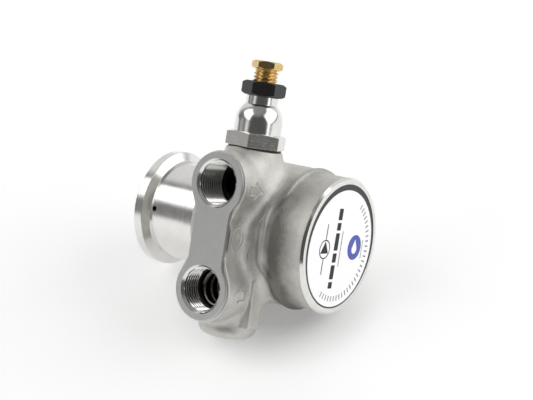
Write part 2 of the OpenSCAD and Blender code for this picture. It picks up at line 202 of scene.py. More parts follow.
def lathe(name, axis, profile, segments=160, round_by=0.0, sharp=32):
    """A turned solid from a closed profile of (radius, station) points."""
    if round_by:
        profile = rounded(profile, round_by)
    angles = turn(segments)
    return mesh_object(name, *skin([axis.ring(r, s, angles) for r, s in profile]), sharp)


def sweep(path, radius, sides=10, closed=False):
    """Vertices and faces of a round wire along a path."""
    path = np.asarray(path, float)
    count = len(path)
    if closed:
        ahead = np.roll(path, -1, axis=0) - np.roll(path, 1, axis=0)
    else:
        ahead = np.gradient(path, axis=0)
    ahead /= np.linalg.norm(ahead, axis=1)[:, None]
    helper = np.array((0.31, 0.17, 0.93))
    side = np.cross(ahead, helper)
    side /= np.linalg.norm(side, axis=1)[:, None]
    lift = np.cross(ahead, side)
    angles = turn(sides)
    rings = [
        path[i] + radius * (np.cos(angles)[:, None] * side[i] + np.sin(angles)[:, None] * lift[i])
        for i in range(count)
    ]
    vertices, faces = skin(rings, closed)
    if not closed:
        faces.append(tuple(range(sides)))
        faces.append(tuple(reversed(range((count - 1) * sides, count * sides))))
    return vertices, faces


def joined(parts):
    """One set of vertices and faces from several."""
    vertices, faces, start = [], [], 0
    for part_vertices, part_faces in parts:
        vertices.append(part_vertices)
        faces += [tuple(start + v for v in face) for face in part_faces]
        start += len(part_vertices)
    return np.concatenate(vertices), faces


def prism(outline, low, high):
    """A flat shape in the nameplate's plane, between two stations of the shaft axis."""
    outline = np.asarray(outline, float)
    count = len(outline)
    rings = [np.column_stack((outline[:, 0], np.full(count, -s), outline[:, 1])) for s in (low, high)]
    vertices, faces = skin(rings, closed=False)
    faces += [tuple(range(count)), tuple(reversed(range(count, 2 * count)))]
    return vertices, faces


def coil(axis, mean_r, wire_r, low, high, turns, per_turn=48):
    """A compression spring with closed, flattened end turns."""
    steps = int(turns * per_turn)
    t = np.linspace(0, 1, steps + 1)
    angle = 2 * math.pi * turns * t
    flat = 0.8 / turns
    rise = np.clip((t - flat) / (1 - 2 * flat), 0, 1)
    station = low + wire_r + (high - low - 2 * wire_r) * rise
    across = np.cos(angle)[:, None] * axis.right + np.sin(angle)[:, None] * axis.up
    return sweep(axis.origin + station[:, None] * axis.along + mean_r * across, wire_r)


def hex_radius(flats, corner, angles, corner_r=0.25):
    """Distance from a hexagonal bar's axis to its surface, with slightly rounded corners."""
    apothem = flats / 2
    offset = (angles - math.radians(corner)) % (math.pi / 3) - math.pi / 6
    sharp_r = apothem / np.cos(offset)
    limit = (apothem - corner_r) / math.cos(math.pi / 6)
    from_corner = math.pi / 6 - np.abs(offset)
    aside = limit * np.sin(from_corner)
    arc_r = limit * np.cos(from_corner) + np.sqrt(np.maximum(corner_r**2 - aside**2, 0))
    on_arc = aside < corner_r * 0.5
    return np.where(on_arc, np.minimum(arc_r, sharp_r), sharp_r)


def hexagon(name, axis, flats, corner, low, high, hole_r, chamfers=(0.0, 30.0), edge=0.12):
    """A hexagonal bar with a round hole.

    The chamfers are the angles of its lower and upper turned corners.
    """
    angles = turn(360)
    across = hex_radius(flats, corner, angles)
    reach = flats / 2 - 0.15

    def end(station, inward, chamfer):
        drop = np.maximum(across - reach, 0) * math.tan(math.radians(chamfer))
        face_r = np.minimum(across - edge, reach if chamfer else across)
        return [
            axis.ring(across, station + inward * (drop + edge), angles),
            axis.ring(across - edge * 0.5, station + inward * (drop + edge * 0.25), angles),
            axis.ring(face_r - edge, station, angles),
            axis.ring(hole_r + edge, station, angles),
            axis.ring(hole_r, station + inward * edge, angles),
        ]

    rings = end(low, 1, chamfers[0])[::-1] + end(high, -1, chamfers[1])
    return mesh_object(name, *skin(rings), 24)


# ---- Signed distances and the surface through their zero ----

def rod(a, b, along, radius, low, high, edge=0.0):
    """Distance to a cylinder with rounded rims. a and b are across it and along is its own axis."""
    side = np.hypot(a, b) - radius + edge
    ends = np.maximum(low - along, along - high) + edge
    return np.minimum(np.maximum(side, ends), 0) + np.hypot(np.maximum(side, 0), np.maximum(ends, 0)) - edge


def block(x, y, z, low, high, edge=0.0):
    """Distance to a box with rounded edges."""
    gaps = [np.maximum(l - v, v - h) + edge for v, l, h in zip((x, y, z), low, high)]
    inner = np.minimum(np.maximum(np.maximum(gaps[0], gaps[1]), gaps[2]), 0)
    outer = np.sqrt(sum(np.maximum(g, 0) ** 2 for g in gaps))
    return inner + outer - edge


def merge(a, b, fillet):
    """Union of two solids with a fillet along the seam."""
    near = np.maximum(fillet - np.abs(a - b), 0) / fillet
    return np.minimum(a, b) - near * near * fillet / 4


def surface_net(field, origin, step):
    """Vertices and quads of the surface where the field passes through zero."""
    inside = field < 0
    shape = tuple(n - 1 for n in field.shape)
    corners = [(i, j, k) for i in (0, 1) for j in (0, 1) for k in (0, 1)]
    count = sum(inside[i:shape[0] + i, j:shape[1] + j, k:shape[2] + k].astype(np.int8) for i, j, k in corners)
    cells = np.argwhere((count > 0) & (count < 8))
    index = np.full(shape, -1, np.int32)
    index[tuple(cells.T)] = np.arange(len(cells))
    total = np.zeros((len(cells), 3))
    hits = np.zeros(len(cells))
    for corner in corners:
        for axis in range(3):
            if corner[axis]:
                continue
            far = np.array(corner)
            far[axis] = 1
            here = field[tuple((cells + corner).T)].astype(float)
            there = field[tuple((cells + far).T)].astype(float)
            crossing = (here < 0) != (there < 0)
            share = np.where(crossing, here / np.where(crossing, here - there, 1), 0)
            place = np.repeat(np.array([corner], float), len(cells), axis=0)
            place[:, axis] += share
            total += place * crossing[:, None]
            hits += crossing
    vertices = np.array(origin) + step * (cells + total / hits[:, None])
    quads = []
    for axis in range(3):
        u, v = np.roll(np.eye(3, dtype=int), -axis - 1, axis=0)[:2]
        here = np.delete(inside, -1, axis=axis)
        there = np.delete(inside, 0, axis=axis)
        edges = np.argwhere(here != there)
        outward = here[tuple(edges.T)]
        ring = [index[tuple((edges - shift).T)] for shift in (u + v, v, 0 * u, u)]
        quads.append(np.where(outward[:, None], np.column_stack(ring), np.column_stack(ring[::-1])))
    return vertices, np.concatenate(quads).tolist()


# ---- Materials ----

class Finish:
    """A Principled material whose textures run in the row frame, in millimetres."""

    def __init__(self, name, **sockets):
        self.material = bpy.data.materials.new(name)
        self.material.use_nodes = True
        self.nodes = self.material.node_tree.nodes
        self.links = self.material.node_tree.links
        self.shader = self.nodes["Principled BSDF"]
        for socket, value in sockets.items():
            self.shader.inputs[socket.replace("_", " ")].default_value = value
        place = self.nodes.new("ShaderNodeTexCoord")
        scale = self.nodes.new("ShaderNodeVectorMath")
        scale.operation = "SCALE"
        scale.inputs["Scale"].default_value = 1 / MM
        self.links.new(place.outputs["Object"], scale.inputs[0])
        self.place = scale.outputs[0]
        self.bumped = None

    def math(self, operation, *values):
        node = self.nodes.new("ShaderNodeMath")
        node.operation = operation
        for socket, value in zip(node.inputs, values):
            if isinstance(value, (int, float)):
                socket.default_value = value
            else:
                self.links.new(value, socket)
        return node.outputs[0]

    def stretched(self, scale, shift=(0, 0, 0)):
        node = self.nodes.new("ShaderNodeMapping")
        node.inputs["Scale"].default_value = scale
        node.inputs["Location"].default_value = shift
        self.links.new(self.place, node.inputs["Vector"])
        return node.outputs[0]

    def noise(self, scale, detail=3.0, roughness=0.55, vector=None):
        node = self.nodes.new("ShaderNodeTexNoise")
        node.inputs["Scale"].default_value = scale
        node.inputs["Detail"].default_value = detail
        node.inputs["Roughness"].default_value = roughness
        self.links.new(vector or self.place, node.inputs["Vector"])
        return node.outputs["Fac"]

    def from_axis(self, origin, along):
        """Distance from a line through origin: what a tool's rings and arcs follow."""
        shift = self.nodes.new("ShaderNodeVectorMath")
        shift.operation = "SUBTRACT"
        shift.inputs[1].default_value = origin
        self.links.new(self.place, shift.inputs[0])
        flat = self.nodes.new("ShaderNodeVectorMath")
        flat.operation = "MULTIPLY"
        flat.inputs[1].default_value = [0.0 if c else 1.0 for c in along]
        self.links.new(shift.outputs[0], flat.inputs[0])
        length = self.nodes.new("ShaderNodeVectorMath")
        length.operation = "LENGTH"
        self.links.new(flat.outputs[0], length.inputs[0])
        return length.outputs["Value"]

    def lines(self, distance, scale, detail=2.0):
        """Fine lines that change only with the distance."""
        join = self.nodes.new("ShaderNodeCombineXYZ")
        self.links.new(distance, join.inputs[0])
        return self.noise(scale, detail, 0.6, join.outputs[0])

    def spread(self, value, low, high, start=0.3, end=0.7):
        """The value, remapped from start..end to low..high."""
        node = self.nodes.new("ShaderNodeMapRange")
        node.inputs["From Min"].default_value = start
        node.inputs["From Max"].default_value = end
        node.inputs["To Min"].default_value = low
        node.inputs["To Max"].default_value = high
        self.links.new(value, node.inputs["Value"])
        return node.outputs["Result"]

    def colour(self, value, low, high, start=0.3, end=0.7):
        ramp = self.nodes.new("ShaderNodeValToRGB")
        ramp.color_ramp.elements[0].position = start
        ramp.color_ramp.elements[0].color = (*low, 1)
        ramp.color_ramp.elements[1].position = end
        ramp.color_ramp.elements[1].color = (*high, 1)
        self.links.new(value, ramp.inputs["Fac"])
        self.links.new(ramp.outputs["Color"], self.shader.inputs["Base Color"])
        return self

    def rough(self, value):
        self.links.new(value, self.shader.inputs["Roughness"])
        return self

    def bump(self, height, depth, strength=1.0):
        """Adds relief of that depth in millimetres."""
        node = self.nodes.new("ShaderNodeBump")
        node.inputs["Strength"].default_value = strength
        node.inputs["Distance"].default_value = depth * MM
        self.links.new(height, node.inputs["Height"])
        if self.bumped:
            self.links.new(self.bumped, node.inputs["Normal"])
        self.bumped = node.outputs["Normal"]
        self.links.new(self.bumped, self.shader.inputs["Normal"])
        return self


def cast_steel():
    m = Finish("cast_stainless", Metallic=1.0)
    grain = m.noise(2.6, 4.0, 0.65)
    patches = m.noise(0.16, 3.0)
    split = m.nodes.new("ShaderNodeSeparateXYZ")
    m.links.new(m.place, split.inputs[0])
    # Painted shade: the front drum's colour is darkened just ahead of the shoulder, fading out towards the
    # front rim and towards the top.
    drum = m.spread(split.outputs["Y"], 0.60, -0.04, -67, -77)
    drum = m.math("MULTIPLY", drum, m.spread(split.outputs["Y"], 0.0, 1.0, -63.5, -66))
    drum = m.math("MULTIPLY", drum, m.spread(split.outputs["Z"], 1.0, 0.25, 4, 22))
    mottle = m.math("ADD", m.math("MULTIPLY", grain, 0.5), m.math("MULTIPLY", patches, 0.5))
    m.colour(m.math("SUBTRACT", mottle, drum), (0.20, 0.195, 0.175), (0.66, 0.65, 0.615), 0.0, 0.56)
    rough_mix = m.math("ADD", m.math("MULTIPLY", grain, 0.6), m.math("MULTIPLY", patches, 0.4))
    m.rough(m.spread(rough_mix, 0.42, 0.56))
    m.bump(m.noise(0.6, 2.0), 0.02)
    m.bump(m.noise(1.25, 2.0, 0.7), 0.11)
    m.bump(grain, 0.10)
    return m.material


def turned_steel(name, origin, along, colour, low_rough, high_rough, relief=0.004, by_radius=False):
    """Steel from a lathe, whose lines run round the axis.

    They change along the axis, or with the radius on a faced end.
    """
    m = Finish(name, Metallic=1.0)
    if by_radius:
        run = m.from_axis(origin, along)
    else:
        split = m.nodes.new("ShaderNodeSeparateXYZ")
        m.links.new(m.place, split.inputs[0])
        run = split.outputs[[abs(c) for c in along].index(1)]
    fine = m.lines(run, 9.0)
    haze = m.noise(0.25, 2.0)
    m.colour(haze, [c * 0.94 for c in colour], colour)
    rough_mix = m.math("ADD", m.math("MULTIPLY", fine, 0.7), m.math("MULTIPLY", haze, 0.3))
    m.rough(m.spread(rough_mix, low_rough, high_rough))
    m.bump(fine, relief)
    m.bump(m.lines(run, 2.2, 1.0), relief)
    return m.material


def milled_steel(name, origin, along, colour, rough=(0.24, 0.36)):
    """A flat face with the wide arcs that a face mill leaves."""
    m = Finish(name, Metallic=1.0)
    arcs = m.lines(m.from_axis(origin, along), 5.0, 3.0)
    haze = m.noise(0.3, 2.0)
    m.colour(m.math("ADD", m.math("MULTIPLY", arcs, 0.6), m.math("MULTIPLY", haze, 0.4)),
             [c * 0.88 for c in colour], colour)
    m.rough(m.spread(arcs, *rough))
    m.bump(arcs, 0.008)
    return m.material


def brushed_steel(name, colour, stretch, rough=(0.22, 0.36)):
    """Drawn bar with lines along the axis where stretch is smallest."""
    m = Finish(name, Metallic=1.0)
    lines = m.noise(1.0, 3.0, 0.6, m.stretched(stretch))
    m.colour(lines, [c * 0.92 for c in colour], colour)
    m.rough(m.spread(lines, *rough))
    m.bump(lines, 0.005)
    return m.material


def brass():
    m = Finish("turned_brass", Metallic=1.0)
    haze = m.noise(0.9, 3.0)
    m.colour(haze, (0.60, 0.42, 0.18), (0.80, 0.60, 0.30))
    m.rough(m.spread(m.noise(3.0, 3.0), 0.16, 0.30))
    m.bump(m.noise(5.0, 2.0), 0.008)
    return m.material


def black_oxide():
    m = Finish("black_oxide")
    grain = m.noise(3.5, 4.0, 0.6)
    m.colour(m.noise(0.8, 3.0), (0.006, 0.006, 0.007), (0.013, 0.013, 0.014))
    m.rough(m.spread(grain, 0.32, 0.48))
    m.bump(grain, 0.014)
    return m.material


def plain(name, low, high, rough, scale=1.2, grain=0.01, **sockets):
    """A non-metal with slight variation in colour and gloss."""
    m = Finish(name, **sockets)
    m.colour(m.noise(scale, 3.0), low, high)
    fine = m.noise(scale * 3, 3.0)
    m.rough(m.spread(fine, *rough))
    m.bump(fine, grain)
    return m.material


CAST = cast_steel()
TUBE_STEEL = turned_steel("tube_steel", (0, 0, 0), (0, 1, 0), (0.80, 0.79, 0.77), 0.13, 0.22)
RIM_STEEL = turned_steel("rim_steel", (0, 0, 0), (0, 1, 0), (0.80, 0.79, 0.76), 0.11, 0.18, by_radius=True)
THREAD_STEEL = turned_steel("thread_steel", (0, 0, 0), (1, 0, 0), (0.80, 0.79, 0.76), 0.15, 0.25)
DOME_STEEL = turned_steel("dome_steel", (0, 0, 0), (0, 0, 1), (0.80, 0.79, 0.77), 0.13, 0.20, 0.002)
FACE_STEEL = milled_steel("port_face_steel", (PORT_X, -PORT_S - 60, -30), (1, 0, 0), (0.58, 0.58, 0.57),
                          (0.32, 0.42))
HEX_STEEL = brushed_steel("hexagon_steel", (0.74, 0.73, 0.69), (0.35, 0.35, 9.0), (0.19, 0.28))
WIRE_STEEL = brushed_steel("spring_wire", (0.55, 0.50, 0.42), (2.0, 2.0, 2.0), (0.24, 0.34))
BEARING_STEEL = turned_steel("bearing_steel", (0, 0, 0), (0, 1, 0), (0.78, 0.78, 0.79), 0.08, 0.14, 0.001)
# Painted shade: a near-black colour for the faces deep in the bores and in the thread roots, where little
# light reaches; the rough finish is the metal's own.
BORE_PAINTED_SHADE = plain("bore_painted_shade", (0.055, 0.054, 0.052), (0.090, 0.088, 0.084), (0.50, 0.62), Metallic=1.0)
BRASS = brass()
BLACK_OXIDE = black_oxide()
BLACK_PLASTIC = plain("black_backing", (0.012, 0.012, 0.013), (0.022, 0.022, 0.023), (0.30, 0.40))
RUBBER = plain("rubber", (0.013, 0.013, 0.014), (0.026, 0.026, 0.027), (0.55, 0.70), grain=0.02)
CARBON = plain("carbon_graphite", (0.030, 0.030, 0.033), (0.062, 0.062, 0.066), (0.34, 0.48))
CERAMIC = plain("white_ceramic", (0.80, 0.77, 0.70), (0.86, 0.83, 0.77), (0.18, 0.26), grain=0.002)
# The white label film glows a little though it is no lamp: painted light that brightens its white.
LABEL_WHITE_GLOW = plain("label_film_painted_glow", (0.90, 0.90, 0.91), (0.93, 0.93, 0.94), (0.10, 0.16), 0.4, 0.001,
                    Emission_Color=(1, 1, 1, 1), Emission_Strength=0.16)
LABEL_INK = plain("label_ink", (0.010, 0.010, 0.011), (0.018, 0.018, 0.019), (0.28, 0.36), 2.0, 0.001,
                  Specular_IOR_Level=0.22)
LABEL_GREY = plain("label_grey_ink", (0.22, 0.22, 0.23), (0.28, 0.28, 0.29), (0.22, 0.30), 2.0, 0.001)
LABEL_BLUE = plain("label_blue_ink", (0.045, 0.075, 0.42), (0.060, 0.095, 0.50), (0.20, 0.28), 2.0, 0.001)

SLOT_FINISH = {
    "cast_stainless": CAST, "turned_steel": TUBE_STEEL, "bearing_steel": BEARING_STEEL,
    "spring_steel": WIRE_STEEL, "blackened_steel": BLACK_OXIDE, "black_backing": BLACK_PLASTIC,
    "label": LABEL_WHITE_GLOW, "carbon_graphite": CARBON, "rubber": RUBBER,
    "white_ceramic": CERAMIC, "brass": BRASS,
}

for entry in frame["record"]["subparts"]:
    node = frame["nodes"][entry["node"]]
    node.data.materials.clear()
    node.data.materials.append(SLOT_FINISH[entry["material_slot"]])


def piece(made, material, body, slot, *replaced):
    """Finishes a new piece: its material, its body and the CAD nodes that it stands for. The slot is not
    used.
    """
    made.data.materials.clear()
    made.data.materials.append(material)
    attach(made, body)
    if replaced:
        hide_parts(*replaced)
    return made


# ---- Housing: the casting ----

VOXEL = 0.32
PLATE_T = 1.0            # how far the milled port face stands in front of the casting
SHOULDER_L = 4.6         # length of the hollow run-out from the drum's shoulder to its front
CAST_FRONT = PUMP_L - 1.2


def casting_field():
    """Distance to the casting's skin, and the grid it is sampled on."""
    low = np.array((PORT_X - 1, -CAST_FRONT - 1.5, FOOT_Z - 1))
    high = np.array((DRUM_R + 1.5, -COLLAR_S + 1.5, BOSS_Z + 1))
    counts = np.ceil((high - low) / VOXEL).astype(int)
    x, y, z = (low[i] + VOXEL * np.arange(counts[i]) for i in range(3))
    x = x[:, None, None].astype(np.float32)
    y = y[None, :, None].astype(np.float32)
    z = z[None, None, :].astype(np.float32)
    s, vx, vs = -y, x - VALVE_X, -y - PORT_S

    collar = rod(x, z, s, COLLAR_R + 0.1, COLLAR_S + 4, 45, 0.3)
    # The shoulder is cut back in front of the ports.
    beside = np.clip((40 - np.degrees(np.abs(np.arctan2(z, -x) - 0.03))) / 22, 0, 1)
    shoulder_s = 66.8 - 3.8 * beside * beside * (3 - 2 * beside)
    runout = np.clip((s - shoulder_s) / SHOULDER_L, 0, 1)
    bead = 0.5 * np.exp(-(((s - shoulder_s + 0.7) / 1.1) ** 2))
    outer_r = FRONT_R + (DRUM_R - 0.55 + bead - FRONT_R) * (1 - runout) ** 3
    drum = np.maximum(rod(x, z, s, DRUM_R - 0.05, 34.4, CAST_FRONT, 1.1), np.hypot(x, z) - outer_r)
    drum = merge(drum, collar, 5.0)

    barrels = np.minimum(*(rod(vs, z - port_z, x, BOSS_R + 0.5, PORT_X + PLATE_T, VALVE_X + 4, 0.6)
                           for port_z in (INLET_Z, OUTLET_Z)))
    web = block(x, s, z, (PORT_X + PLATE_T, PORT_S - WEB_W / 2, OUTLET_Z),
                (VALVE_X, PORT_S + WEB_W / 2, INLET_Z), 0.5)
    column = rod(vx, vs, z, COLUMN_R + 0.6, -32, BOSS_Z - 4, 1.0)
    boss = rod(vx, vs, z, 10.4, BOSS_Z - 12, BOSS_Z, 0.4)
    foot = rod(vx, vs, z, 10.6, FOOT_Z, -22, 3.6)
    ports = merge(merge(barrels, web, 5.0), column, 3.0)
    ports = merge(merge(ports, boss, 4.0), foot, 3.0)
    skin_field = merge(ports, drum, 7.0)

    bar_low = (VALVE_X - 5.2, PORT_S, FOOT_Z + 5)
    bar_high = (VALVE_X + 2.2, PORT_S + 12.5, FOOT_Z + 23)
    bar = block(x, s, z, bar_low, bar_high, 0.4)
    skin_field = merge(skin_field, bar, 0.9)

    holes = [
        rod(x, z, s, 11.0, 0, 60), rod(x, z, s, 20.0, 54.5, 90), rod(x, z, s, 22.5, 74.5, 90),
        rod(vs, z - INLET_Z, x, 9.0, PORT_X - 5, PORT_X + INLET_THREAD_L - 0.4),
        rod(vs, z - OUTLET_Z, x, 9.0, PORT_X - 5, PORT_X + OUTLET_THREAD_L - 0.4),
        rod(vs, z - INLET_Z, x, 6.0, PORT_X, -6),
        rod(vs, z - OUTLET_Z, x, CHECK_BORE_R, PORT_X, -13.5),
        rod(vs, z - OUTLET_Z, x, 4.5, PORT_X, -6),
        rod(vx, vs, z, 5.0, 0, 40), rod(vx, vs, z, 3.0, OUTLET_Z, 1), rod(vx, vs, z, 7.0, 24.4, 40),
    ]
    for hole in holes:
        skin_field = np.maximum(skin_field, -hole)
    return np.maximum(skin_field, PORT_X + PLATE_T - x), low


casting_skin, casting_origin = casting_field()
casting = mesh_object("housing_casting", *surface_net(casting_skin, casting_origin, VOXEL), 50)
piece(casting, CAST, "pump_body", "cast_stainless", "housing")
del casting_skin


def in_port(x, y, z):
    """Whether a point lies deep inside one of the two ports."""
    in_inlet = z > (INLET_Z + OUTLET_Z) / 2
    off_axis = math.hypot(y + PORT_S, z - (INLET_Z if in_inlet else OUTLET_Z))
    end = -5 if in_inlet and off_axis < 6.4 else -14
    return PORT_X + 8 < x < end and off_axis < 9.3


def in_tube(x, y, z):
    """Whether a point lies inside the tube's bore."""
    return math.hypot(x, z) < TUBE_R - 0.6


def paint_shade_inside(made, inside):
    """Gives the faces inside a bore a near-black colour, which is painted shade, with a rough finish."""
    made.data.materials.append(BORE_PAINTED_SHADE)
    for face in made.data.polygons:
        if inside(*(face.center / MM)):
            face.material_index = 1


# Painted shade deep inside the two ports.
paint_shade_inside(casting, in_port)


# ---- Housing: the machined faces ----

def bored(made, axis_origin, direction, radius, length):
    """Drills a round hole through a finished piece."""
    along = Vector(direction)
    bpy.ops.mesh.primitive_cylinder_add(vertices=48, radius=radius * MM, depth=length * MM)
    drill = bpy.context.object
    drill.rotation_mode = "QUATERNION"
    drill.rotation_quaternion = along.to_track_quat("Z", "Y")
    drill.location = Vector(axis_origin) * MM
    modifier = made.modifiers.new("bore", "BOOLEAN")
    modifier.operation = "DIFFERENCE"
    modifier.solver = "EXACT"
    modifier.object = drill
    bpy.context.view_layer.update()
    result = bpy.data.meshes.new_from_object(made.evaluated_get(bpy.context.evaluated_depsgraph_get()))
    made.modifiers.clear()
    made.data = result
    made.data.set_sharp_from_angle(angle=math.radians(32))
    bpy.data.objects.remove(drill)
    return made


flange = lathe("flange_and_tube", SHAFT, [
    (15.5, 0), (FLANGE_R, 0), (FLANGE_R, FLANGE_RIM), (TUBE_R, FLANGE_RIM + TAPER_L), (TUBE_R, COLLAR_S),
    (COLLAR_R, COLLAR_S), (COLLAR_R, COLLAR_S + 5), (COLLAR_R - 3, COLLAR_S + 6), (11, COLLAR_S + 6),
    (11, 21), (10.5, 21), (10.5, 20), (13, 20), (13, 12), (13.8, 12),
    (13.8, 10.8), (13, 10.8), (13, 10), (15.5, 10),
], 200, 0.25)
bored(flange, (-TUBE_R, -WEEP_S, WEEP_Z), (1, 0, 0), 1.0, 10)
piece(flange, TUBE_STEEL, "pump_body", "turned_steel")
# Painted shade inside the tube's bore.
paint_shade_inside(flange, in_tube)

rim = lathe("front_rim", SHAFT, [
    (MOUTH_R, PUMP_L), (RIM_R - 0.9, PUMP_L), (RIM_R - 0.1, PUMP_L - 1.0), (FRONT_R - 0.1, PUMP_L - 1.5),
    (FRONT_R - 0.9, PUMP_L - 1.5),
    (FRONT_R - 0.9, 75), (MOUTH_R, 75), (MOUTH_R, PUMP_L - 2.4), (23.9, PUMP_L - 2.4), (23.9, PUMP_L - 1.15),
    (MOUTH_R, PUMP_L - 1.15),
], 220, 0.12)
piece(rim, RIM_STEEL, "pump_body", "turned_steel")


def port_outline(shrink):
    """The two port bosses and the web between them, as (depth along Y, height) points, drawn in by shrink."""
    blend = 6.0
    half = (INLET_Z - OUTLET_Z) / 2
    middle = (INLET_Z + OUTLET_Z) / 2
    centre_y = WEB_W / 2 + blend
    centre_z = math.sqrt((BOSS_R + blend) ** 2 - centre_y**2)
    lean = math.atan2(centre_z, centre_y)
    side = []
    for a in np.linspace(math.pi / 2, -lean, 48):
        side.append(((BOSS_R - shrink) * math.cos(a), half + (BOSS_R - shrink) * math.sin(a)))
    for a in np.linspace(math.pi - lean, math.pi, 12)[1:]:
        side.append((
            centre_y + (blend + shrink) * math.cos(a),
            half - centre_z + (blend + shrink) * math.sin(a),
        ))
    lower = [(y, -z) for y, z in reversed(side)]
    right = side + lower
    left = [(-y, z) for y, z in reversed(right)][1:-1]
    return [(-PORT_S + y, middle + z) for y, z in right + left]


def port_plate():
    """The milled face in front of the casting, with its two port mouths."""
    edge = 0.18
    work = bmesh.new()

    def loop(points, x):
        made = [work.verts.new((x * MM, y * MM, z * MM)) for y, z in points]
        edges = [work.edges.new((made[i - 1], made[i])) for i in range(len(made))]
        return made, edges

    def bridge(a, b):
        for i in range(len(a)):
            work.faces.new((a[i - 1], a[i], b[i], b[i - 1]))

    back_x = PORT_X + PLATE_T + 1.2
    outer = [loop(port_outline(edge * 1.5), PORT_X), loop(port_outline(edge), PORT_X),
             loop(port_outline(0), PORT_X + edge), loop(port_outline(0), back_x)]
    for a, b in zip(outer, outer[1:]):
        bridge(a[0], b[0])
    front_edges, back_edges = list(outer[0][1]), list(outer[-1][1])
    for z in (INLET_Z, OUTLET_Z):
        inner, outer_edge = (
            [(-PORT_S + r * math.cos(a), z + r * math.sin(a)) for a in turn(128)]
            for r in (8.7, 8.8)
        )
        front, lip, back = loop(outer_edge, PORT_X), loop(inner, PORT_X), loop(inner, back_x)
        bridge(front[0], lip[0])
        bridge(lip[0], back[0])
        front_edges += front[1]
        back_edges += back[1]
    bmesh.ops.triangle_fill(work, use_beauty=True, use_dissolve=False, edges=front_edges)
    bmesh.ops.triangle_fill(work, use_beauty=True, use_dissolve=False, edges=back_edges)
    bmesh.ops.recalc_face_normals(work, faces=work.faces)
    mesh = bpy.data.meshes.new("port_face")
    work.to_mesh(mesh)
    work.free()
    mesh.shade_smooth()
    mesh.set_sharp_from_angle(angle=math.radians(25))
    made = bpy.data.objects.new("port_face", mesh)
    bpy.context.scene.collection.objects.link(made)
    return made


piece(port_plate(), FACE_STEEL, "pump_body", "cast_stainless")


def port_thread(name, axis, length):
    """A port's chamfered mouth and internal thread, as a sleeve in the casting."""
    angles = turn(144)
    mouth_l = THREAD_MOUTH_R - THREAD_MINOR_R
    depths = np.arange(mouth_l * 0.35, length, THREAD_PITCH / 12)
    rings = [axis.ring(SLEEVE_R, 0.2, angles), axis.ring(THREAD_MOUTH_R, 0.0, angles)]
    for depth in depths:
        phase = (depth / THREAD_PITCH + angles / (2 * math.pi)) % 1
        tooth = np.clip(1.35 - 2.7 * np.abs(phase - 0.5) * 1.25, 0, 1)
        fade = np.clip((length - depth) / THREAD_PITCH, 0, 1)
        radius = THREAD_MINOR_R + (THREAD_MAJOR_R - THREAD_MINOR_R) * (1 - tooth * fade) * fade
        cone = THREAD_MOUTH_R - depth
        rings.append(axis.ring(np.maximum(radius, min(cone, THREAD_MOUTH_R)), depth, angles))
    rings += [axis.ring(THREAD_MINOR_R, length, angles), axis.ring(SLEEVE_R, length, angles)]
    return mesh_object(name, *skin(rings), 40)


def in_root(x, y, z):
    """Whether a point lies in the root of a port's thread."""
    axis_z = INLET_Z if z > (INLET_Z + OUTLET_Z) / 2 else OUTLET_Z
    return x > PORT_X + 1.4 and math.hypot(y + PORT_S, z - axis_z) > THREAD_MINOR_R + 0.4


port_threads = (("inlet_thread", INLET, INLET_THREAD_L), ("outlet_thread", OUTLET, OUTLET_THREAD_L))
for name, axis, length in port_threads:
    thread = port_thread(name, axis, length)
    piece(thread, THREAD_STEEL, "pump_body", "turned_steel")
    # Painted shade in the roots of the thread.
    paint_shade_inside(thread, in_root)


# ---- Raised casting marks, all generic ----

def drape(points, along=(0, 1, 0)):
    """Lays points on the casting, each carried in that direction until it meets the metal."""
    laid = []
    for point in points:
        hit, place, _, _ = casting.ray_cast(Vector(point) * MM, Vector(along))
        if hit:
            laid.append(tuple(place / MM))
    return laid


def dense(points, per_edge=8, closed=True):
    """A polyline with extra points along its edges."""
    out = []
    ends = points[1:] + points[:1] if closed else points[1:]
    shares = np.linspace(0, 1, per_edge, endpoint=False)
    for a, b in zip(points, ends):
        out += [tuple(np.array(a) + (np.array(b) - np.array(a)) * t) for t in shares]
    return out


def arrow(centre_x, centre_z, direction):
    outline = [(-3.2, -1.7), (0.2, -1.7), (0.2, -3.1), (3.7, 0), (0.2, 3.1), (0.2, 1.7), (-3.2, 1.7)]
    return [(centre_x + direction * x, -PUMP_L, centre_z + h) for x, h in dense(outline)]


mark_x = VALVE_X - 11.8
marks = [
    sweep(drape(arrow(mark_x, INLET_Z - 0.8, 1)), 0.34, 8, True),
    sweep(drape(arrow(mark_x, OUTLET_Z - 0.4, -1)), 0.34, 8, True),
]
for ring_r in (2.2, 4.2):
    ring = [
        (mark_x - 1.4 + ring_r * 0.66 * math.cos(a), -PUMP_L, -2 + ring_r * math.sin(a))
        for a in turn(64)
    ]
    marks.append(sweep(drape(ring), 0.2, 8, True))
for parting in ([(PORT_X, -62.2, 8.2), (PORT_X, -60.2, 5.2)], [(PORT_X, -58.6, -5.5), (PORT_X, -58.4, -8.5)]):
    marks.append(sweep(drape(dense(parting, closed=False), (1, 0, 0)), 0.3, 8))
piece(mesh_object("cast_marks", *joined(marks), 60), CAST, "pump_body", "cast_stainless")


# ---- Front: cover and nameplate ----

cover_front = -cover_low.y
piece(lathe("cover", SHAFT, [
    (0, cover_front), (MOUTH_R - 0.06, cover_front), (MOUTH_R - 0.06, -cover_high.y), (0, -cover_high.y),
], 200, 0.12), BLACK_PLASTIC, "pump_body", "black_backing", "cover_disc")

label_r = (label_high.x - label_low.x) / 2
label_z = (label_high.z + label_low.z) / 2
label_front = -label_low.y - 0.05
LABEL = Axis((0, 0, label_z), (0, -1, 0), (1, 0, 0), (0, 0, 1))
piece(lathe("label", LABEL, [
    (0, label_front), (label_r, label_front), (label_r, -label_high.y), (0, -label_high.y),
], 200, 0.06), LABEL_WHITE_GLOW, "pump_body", "label", "nameplate")

INK_LOW, INK_HIGH = label_front - 0.03, label_front + 0.035


